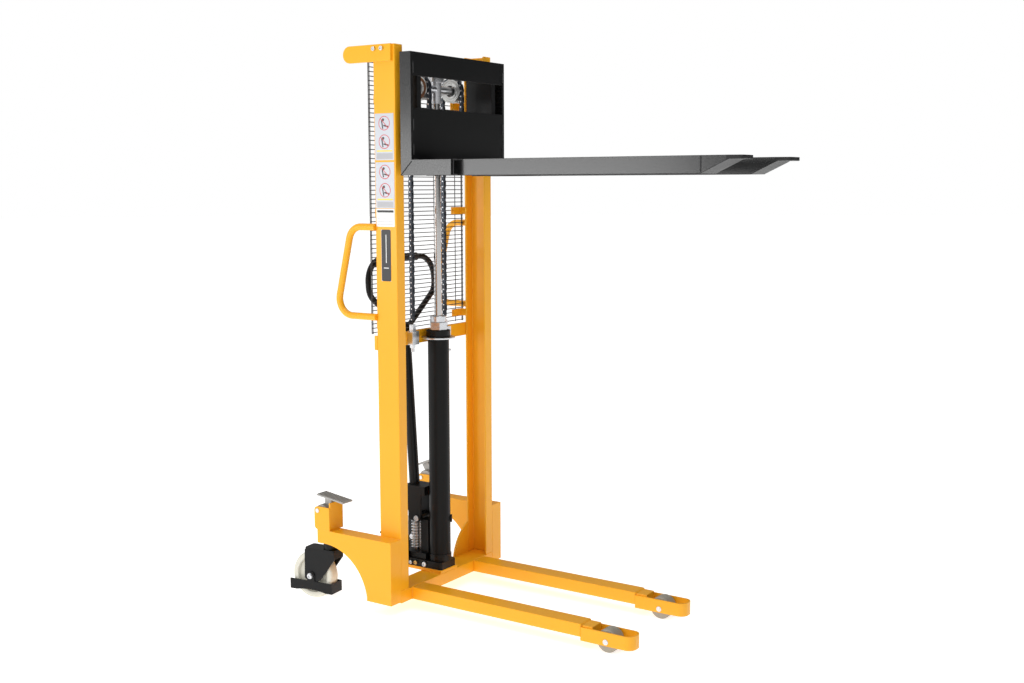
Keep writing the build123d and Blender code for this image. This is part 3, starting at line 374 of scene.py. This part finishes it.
def link(data, first, second, low, high):
    """One plate between two pins given as (x, z) in metres: round ends, parallel sides."""
    along = (second - first).normalized()
    turn = math.atan2(along.y, along.x)
    outline = []
    for end, start in ((second, turn - math.pi / 2), (first, turn + math.pi / 2)):
        for i in range(7):
            angle = start + math.pi * i / 6
            outline.append((end.x + LINK_HALF * MM * math.cos(angle),
                            end.y + LINK_HALF * MM * math.sin(angle)))
    prism(data, outline, low, high)


def chain(pins, parity, first_pin=0):
    """Both chains of a run: returns the bmesh of the plates and the bmesh of the pins."""
    plates, dots = bmesh.new(), bmesh.new()
    rows = {0: ((-7.0, -4.6), (4.6, 7.0), (-1.1, 1.1)), 1: ((-4.2, -1.5), (1.5, 4.2))}
    for side in (-1, 1):
        for index in range(len(pins) - 1):
            for low, high in rows[(index + parity) % 2]:
                link(plates, pins[index], pins[index + 1],
                     (side * CHAIN_CENTRE + low) * MM, (side * CHAIN_CENTRE + high) * MM)
        for x, z in pins[first_pin:]:
            turned(dots, [(0.5, -7.6), (2.6, -7.6), (3.1, -7.2), (3.1, 7.2), (2.6, 7.6), (0.5, 7.6)],
                   Vector((x, side * CHAIN_CENTRE * MM, z)), (0, 1, 0), steps=14)
    bmesh.ops.recalc_face_normals(plates, faces=plates.faces)
    return plates, dots


axle = Vector((pulley_middle.x, pulley_middle.z))
arc = [axle + Vector((-math.cos(math.pi * i / LINKS_ON_PULLEY),
                      math.sin(math.pi * i / LINKS_ON_PULLEY))) * PITCH_RADIUS * MM
       for i in range(LINKS_ON_PULLEY + 1)]
rear_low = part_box("chain_rear_runs")[0][2]
front_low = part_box("chain_front_runs")[0][2]
rear_count = int((axle.y - rear_low) / (PITCH * MM))
front_count = int((axle.y - front_low) / (PITCH * MM))
rear_pins = [arc[0] - Vector((0, i * PITCH * MM)) for i in range(rear_count + 1)]
front_pins = [arc[-1] - Vector((0, i * PITCH * MM)) for i in range(front_count + 1)]

plates, dots = chain(arc, 0)
made = piece("chain_wraps.plates", plates, "ram", CHAIN, smooth=30)
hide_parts("chain_wraps")
piece("chain_wraps.pins", dots, "ram", PIN)

plates, dots = chain(rear_pins, 1, first_pin=1)
made = piece("chain_rear_runs.plates", plates, "frame", CHAIN, smooth=30)
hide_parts("chain_rear_runs")
pins = piece("chain_rear_runs.pins", dots, "frame", PIN)
for thing in (made, pins):
    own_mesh(thing)

plates, dots = chain(front_pins, LINKS_ON_PULLEY, first_pin=1)
for name, data, material, finish in (("plates", plates, CHAIN, "chain_steel"),
                                     ("pins", dots, PIN, "zinc_plate")):
    mesh = bpy.data.meshes.new("chain_front_runs." + name)
    data.to_mesh(mesh)
    data.free()
    thing = bpy.data.objects.new("chain_front_runs." + name, mesh)
    bpy.context.scene.collection.objects.link(thing)
    painted(thing, material)
    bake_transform(thing)
    if name == "plates":
        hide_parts("chain_front_runs")


# ---- weld beads ----

def bead(data, start, end, radius):
    """Adds one run of weld: a row of overlapping drops, as a torch leaves them."""
    run = end - start
    count = max(2, int(run.length / (radius * 1.1 * MM)))
    frame_of_run = run.to_track_quat("Z", "Y").to_matrix().to_4x4()
    for i in range(count + 1):
        place = Matrix.Translation(start + run * i / count)
        shape = Matrix.Diagonal((radius * MM, radius * MM, radius * 0.75 * MM, 1))
        bmesh.ops.create_uvsphere(data, u_segments=10, v_segments=6, radius=1.0,
                                  matrix=place @ frame_of_run @ shape)


def beads(name, runs, body, material, radius):
    """One piece made of several runs of weld, each between two points in mm."""
    data = bmesh.new()
    for start, end in runs:
        bead(data, at(*start), at(*end), radius)
    return piece(name, data, body, material)


def both(runs):
    """The runs of the right-hand side and their mirror images."""
    return runs + [((a[0], -a[1], a[2]), (b[0], -b[1], b[2])) for a, b in runs]


beads("leg_welds", both([
    ((1, -231, 82), (1, -231, 40)), ((1, -230, 84.5), (1, -163, 84.5)),
    ((718, -231, 78), (718, -231, 42)), ((718, -229, 79.5), (718, -164, 79.5))]),
    "frame", YELLOW, 3.0)
beads("mast_welds", both([
    ((-94, -294, 84.5), (-94, -294, 276)), ((-2, -294, 86), (-2, -294, 276)),
    ((-1, -250, 84.5), (-1, -292, 84.5)), ((-109, -286, 1990), (-109, -286, 2029)),
    ((-96, -291, 966), (-108, -291, 966)), ((-96, -291, 1014), (-108, -291, 1014))]),
    "frame", YELLOW, 2.4)
beads("pump_plate_welds", [((-94, -52, 85), (-2, -52, 85)), ((-94, 52, 85), (-2, 52, 85))],
      "frame", YELLOW, 2.4)
dashes = [(z, z + 34) for z in (1660, 1745, 1940)]
beads("carriage_welds", both(
    [((56, -276, low), (56, -276, high)) for low, high in dashes]
    + [((67, -276.5, low), (67, -276.5, high)) for low, high in dashes]
    + [((68, -276, 1642), (68, -254, 1642)), ((20, -289, 1590), (66, -289, 1636))]),
    "carriage", WELD, 2.4)
beads("fork_welds", both([
    ((236, -276, 1589), (236, -253, 1589)), ((236, -277, 1590), (236, -277, 1640)),
    ((70, -252.5, 1640.5), (232, -252.5, 1640.5)), ((1141, -252.5, 1589), (1141, -252.5, 1640))]),
    "carriage", WELD, 2.4)


# ---- screws ----

def screw_head(name, place, axis, radius, height, body, material):
    """A socket screw head: chamfered disc with a six-sided recess, standing on place."""
    data = bmesh.new()
    spin = Vector(axis).normalized()
    side = spin.orthogonal().normalized()
    other = spin.cross(side)
    steps = 36
    rings = []
    levels = ((1.0, 0.0), (1.0, 0.75), (0.88, 1.0), (None, 1.0), (None, 0.35))
    for share, level in levels:
        ring = []
        for step in range(steps):
            angle = 2 * math.pi * step / steps
            reach = share if share else 0.5 / math.cos((angle + math.pi / 6) % (math.pi / 3)
                                                       - math.pi / 6)
            ring.append(data.verts.new(place + (side * math.cos(angle) + other * math.sin(angle))
                                       * (radius * reach * MM) + spin * (height * level * MM)))
        rings.append(ring)
    for lower, upper in zip(rings, rings[1:]):
        for step in range(steps):
            following = (step + 1) % steps
            data.faces.new((lower[step], lower[following], upper[following], upper[step]))
    data.faces.new(rings[-1])
    data.faces.new(list(reversed(rings[0])))
    return piece(name, data, body, material, smooth=30)


for side, out in (("right", -1), ("left", 1)):
    for number, x in enumerate((-83, -48)):
        screw_head("lug_screw_%s_%d" % (side, number + 1), at(x, out * 307.6, 2025),
                   (0, out, 0), 7.6, 4.0, "frame", ZINC)
    wheel_axis = Vector(JOINTS["wheel_%s_spin" % side]["axis"])
    axle_middle = joint_place("wheel_%s_spin" % side)
    for end in (-1, 1):
        screw_head("axle_head_%s_%d" % (side, (end + 3) // 2),
                   axle_middle + wheel_axis * (end * 39 * MM), wheel_axis * end, 10.0, 5.0,
                   "swivel_" + side, ZINC)
for number, (x, radius, z, material) in enumerate(((-146, 7, 108, ZINC), (-122, 8, 110, BRASS),
                                                    (-80, 9.5, 110, ZINC))):
    screw_head("pump_plug_%d" % (number + 1), at(x, -52.5, z), (0, -1, 0), radius, 4.0, "frame",
               material)


# ---- brake pedals: ribbed treads and ribbed cams ----

def pedal_detail(side, lift):
    """Ribs on one pedal; lift is how far its tread stands up from the pressed place."""
    pin = joint_place("brake_pedal_%s_press" % side)
    swing = Matrix.Translation(pin) @ Matrix.Rotation(math.radians(-lift), 4, "Y")
    data = bmesh.new()
    slope = Matrix.Rotation(math.radians(7.5), 4, "Y")
    tread = swing @ Matrix.Translation((51 * MM, 0, 48 * MM)) @ slope
    for rib in range(13):
        x = -60 + rib * 10
        block(data, (x * MM - 0.0022, -0.025, 0.0023), (x * MM + 0.0022, 0.025, 0.0050), tread)
    cam = swing @ Matrix.Translation((14 * MM, 0, -10 * MM))
    for rib in range(18):
        angle = math.radians(-70 + rib * 12)
        block(data, (0.0300, -0.0290, -0.0014), (0.0325, 0.0290, 0.0014),
              cam @ Matrix.Rotation(-angle, 4, "Y"))
    bmesh.ops.recalc_face_normals(data, faces=data.faces)
    piece("brake_ribs_" + side, data, "brake_pedal_" + side, CAST, smooth=20)


pedal_detail("right", 0)
pedal_detail("left", 30)


# ---- labels: rounded plates with prohibition rings and plain bars, no lettering ----

# the channel face the labels lie on, sideways, and the middle of the labels, forward, in mm
LABEL_FACE = -294.6
LABEL_BACK = -294.5
LABEL_MIDDLE = -49


def label_plate(name, x0, x1, z0, z1, depth, material, corner):
    outline = []
    for cx, cz, start in ((x1 - corner, z1 - corner, 0), (x0 + corner, z1 - corner, 90),
                          (x0 + corner, z0 + corner, 180), (x1 - corner, z0 + corner, 270)):
        for i in range(6):
            angle = math.radians(start + 18 * i)
            outline.append((mast_front + (cx + corner * math.cos(angle)) * MM,
                            (cz + corner * math.sin(angle)) * MM))
    data = bmesh.new()
    near = LABEL_FACE - depth
    prism(data, outline, near * MM, LABEL_BACK * MM)
    bmesh.ops.recalc_face_normals(data, faces=data.faces)
    piece(name, data, "frame", material, smooth=30)


def label_ring(name, x, z, outer, inner, depth, material):
    data = bmesh.new()
    turned(data, [(inner, 0), (outer, 0), (outer, depth), (inner, depth)], at(x, LABEL_FACE, z),
           (0, -1, 0), steps=48)
    piece(name, data, "frame", material, smooth=30)


def label_bar(name, x, z, length, width, tilt, depth, material):
    data = bmesh.new()
    block(data, (-length / 2 * MM, -depth * MM, -width / 2 * MM),
          (length / 2 * MM, 0.0, width / 2 * MM),
          Matrix.Translation(at(x, LABEL_FACE, z)) @ Matrix.Rotation(math.radians(tilt), 4, "Y"))
    bmesh.ops.recalc_face_normals(data, faces=data.faces)
    piece(name, data, "frame", material, smooth=30)


for number, (low, high) in enumerate(((1641, 1803), (1473, 1634))):
    tag = "safety_label_%d" % (number + 1)
    label_plate(tag, -91, -7, low, high, 0.1, FILM, corner=5)
    for ring, drop in enumerate((34, 98)):
        label_ring("%s_ring_%d" % (tag, ring + 1), LABEL_MIDDLE, high - drop, 25, 22.5, 0.25, RED)
        label_bar("%s_slash_%d" % (tag, ring + 1), LABEL_MIDDLE, high - drop, 45, 2.6, 45, 0.25, RED)
        label_bar("%s_post_%d" % (tag, ring + 1), -58, high - drop - 4, 30, 5, 80, 0.15, INK)
        label_bar("%s_load_%d" % (tag, ring + 1), -42, high - drop - 10, 22, 5, 12, 0.15, INK)
        label_ring("%s_head_%d" % (tag, ring + 1), -54, high - drop + 12, 5, 0.5, 0.15, INK)
    label_bar(tag + "_amber", LABEL_MIDDLE, high - 130, 70, 5, 0, 0.2, AMBER)
    label_bar(tag + "_panel", LABEL_MIDDLE, high - 148, 72, 20, 0, 0.15, GREY_INK)
label_plate("data_plate", -90, -8, 1408, 1471, 0.1, WHITE, corner=3)
label_bar("data_plate_head", LABEL_MIDDLE, 1462, 74, 8, 0, 0.2, INK)
for row in range(4):
    label_bar("data_plate_row_%d" % (row + 1), LABEL_MIDDLE, 1416 + 10 * row, 72, 1.6, 0, 0.2, GREY_INK)
label_plate("black_plate", -69, -27, 1215, 1398, 0.1, INK, corner=6)
label_bar("black_plate_line_1", -48, 1330, 100, 3.0, 90, 0.2, WHITE)
label_bar("black_plate_line_2", -48, 1262, 22, 3.0, 0, 0.2, WHITE)


# ---- floor, light and camera ----

def area_light(name, place, aim, size, power):
    data = bpy.data.lights.new(name, "AREA")
    data.shape = "RECTANGLE"
    data.size, data.size_y = size
    data.energy = power
    light = bpy.data.objects.new(name, data)
    light.location = place
    light.rotation_euler = (Vector(aim) - Vector(place)).to_track_quat("-Z", "Y").to_euler()
    bpy.context.scene.collection.objects.link(light)


DARK_SIDE = 0.03
BRIGHT_SIDE = 0.72
FLOOR_GLOW = 0.64


def studio_world():
    """Bright behind the camera and above, dark beyond the mast, so that the black plates stay
    black; the backdrop that the camera sees is plain white."""
    world = bpy.data.worlds.new("studio")
    world.use_nodes = True
    tree = world.node_tree
    background = tree.nodes["Background"]
    towards = tree.nodes.new("ShaderNodeVectorMath")
    towards.operation = "DOT_PRODUCT"
    tree.links.new(tree.nodes.new("ShaderNodeTexCoord").outputs["Generated"], towards.inputs[0])
    towards.inputs[1].default_value = (-0.40, -0.75, 0.53)
    strength = ranged(tree, towards.outputs["Value"], -0.7, 0.8, DARK_SIDE, BRIGHT_SIDE)
    seen = tree.nodes.new("ShaderNodeMix")
    seen.data_type = "FLOAT"
    tree.links.new(tree.nodes.new("ShaderNodeLightPath").outputs["Is Camera Ray"],
                   seen.inputs["Factor"])
    tree.links.new(strength, seen.inputs["A"])
    seen.inputs["B"].default_value = 1.0
    background.inputs["Color"].default_value = (1, 1, 1, 1)
    tree.links.new(seen.outputs["Result"], background.inputs["Strength"])
    bpy.context.scene.world = world


def studio():
    data = bmesh.new()
    bmesh.ops.create_circle(data, cap_ends=True, segments=96, radius=60.0)
    mesh = bpy.data.meshes.new("floor")
    data.to_mesh(mesh)
    data.free()
    floor = bpy.data.objects.new("floor", mesh)
    bpy.context.scene.collection.objects.link(floor)
    painted(floor, surface("pale_floor", (0.96, 0.96, 0.96), 0.9, cloud=0.004, cloud_size=2.0,
                           grain_size=0.02, grain=0.01, specular=0.0))
    floor_shader = floor.data.materials[0].node_tree.nodes["Principled BSDF"]
    floor_shader.inputs["Emission Color"].default_value = (1, 1, 1, 1)
    floor_shader.inputs["Emission Strength"].default_value = FLOOR_GLOW
    studio_world()
    area_light("strip", (-2.1, -3.7, 1.5), (0.2, -0.2, 1.55), (2.2, 0.9), 31)
    area_light("top", (0.3, 0.0, 6.0), (0, 0, 1.0), (5.0, 5.0), 115)
    bpy.context.scene.view_settings.view_transform = "Standard"


def camera():
    data = bpy.data.cameras.new("camera")
    data.sensor_width = 36.0
    data.lens = 43.74
    thing = bpy.data.objects.new("camera", data)
    thing.location = (2.3676, -3.7315, 1.5528)
    thing.rotation_euler = (math.radians(82.84), math.radians(0.12), math.radians(33.442))
    bpy.context.scene.collection.objects.link(thing)
    bpy.context.scene.camera = thing


studio()
camera()
